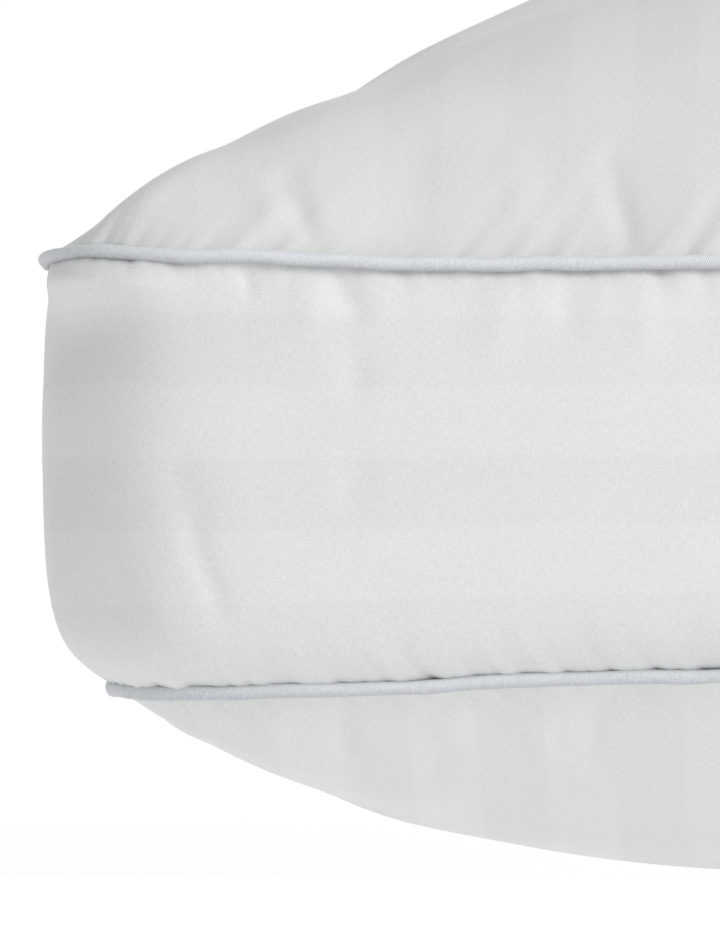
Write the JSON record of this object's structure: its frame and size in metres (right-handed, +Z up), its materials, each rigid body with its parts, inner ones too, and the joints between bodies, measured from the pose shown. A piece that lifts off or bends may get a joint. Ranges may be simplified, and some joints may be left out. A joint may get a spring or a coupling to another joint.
{
  "type": "bed pillow",
  "caption": "Rectangular bed pillow with crowned top and bottom panels, an upright side band, and a wound piping cord in both seams.",
  "frame": {"origin": "on the surface the pillow rests on, under the middle of its outline", "axes": "+Z up through the pillow's thickness, +X along its length, +Y towards its back long side"},
  "size_m": [0.6646, 0.4646, 0.15],
  "materials": {
    "cover_cloth": "white cotton sateen with a self stripe, soft sheen",
    "piping_satin": "cool white satin yarn wound tightly round the cord",
    "piping_cotton": "plain white cotton, hidden inside the seams",
    "sewing_thread": "white polyester thread",
    "fibre_fill": "loose white polyester fibre",
    "label_cloth": "blank white woven ribbon"
  },
  "bodies": {
    "root": {"top_panel": "cover_cloth", "bottom_panel": "cover_cloth", "gusset_band": "cover_cloth", "fibre_filling": "fibre_fill", "top_piping_wrap": "piping_satin", "top_piping_core": "piping_cotton", "top_piping_tape": "piping_cotton", "top_seam_needle_thread": "sewing_thread", "top_seam_bobbin_thread": "sewing_thread", "bottom_piping_wrap": "piping_satin", "bottom_piping_core": "piping_cotton", "bottom_piping_tape": "piping_cotton", "bottom_seam_needle_thread": "sewing_thread", "bottom_seam_bobbin_thread": "sewing_thread", "gusset_join_thread": "sewing_thread", "closing_thread": "sewing_thread", "care_label": "label_cloth"}
  },
  "joints": []
}
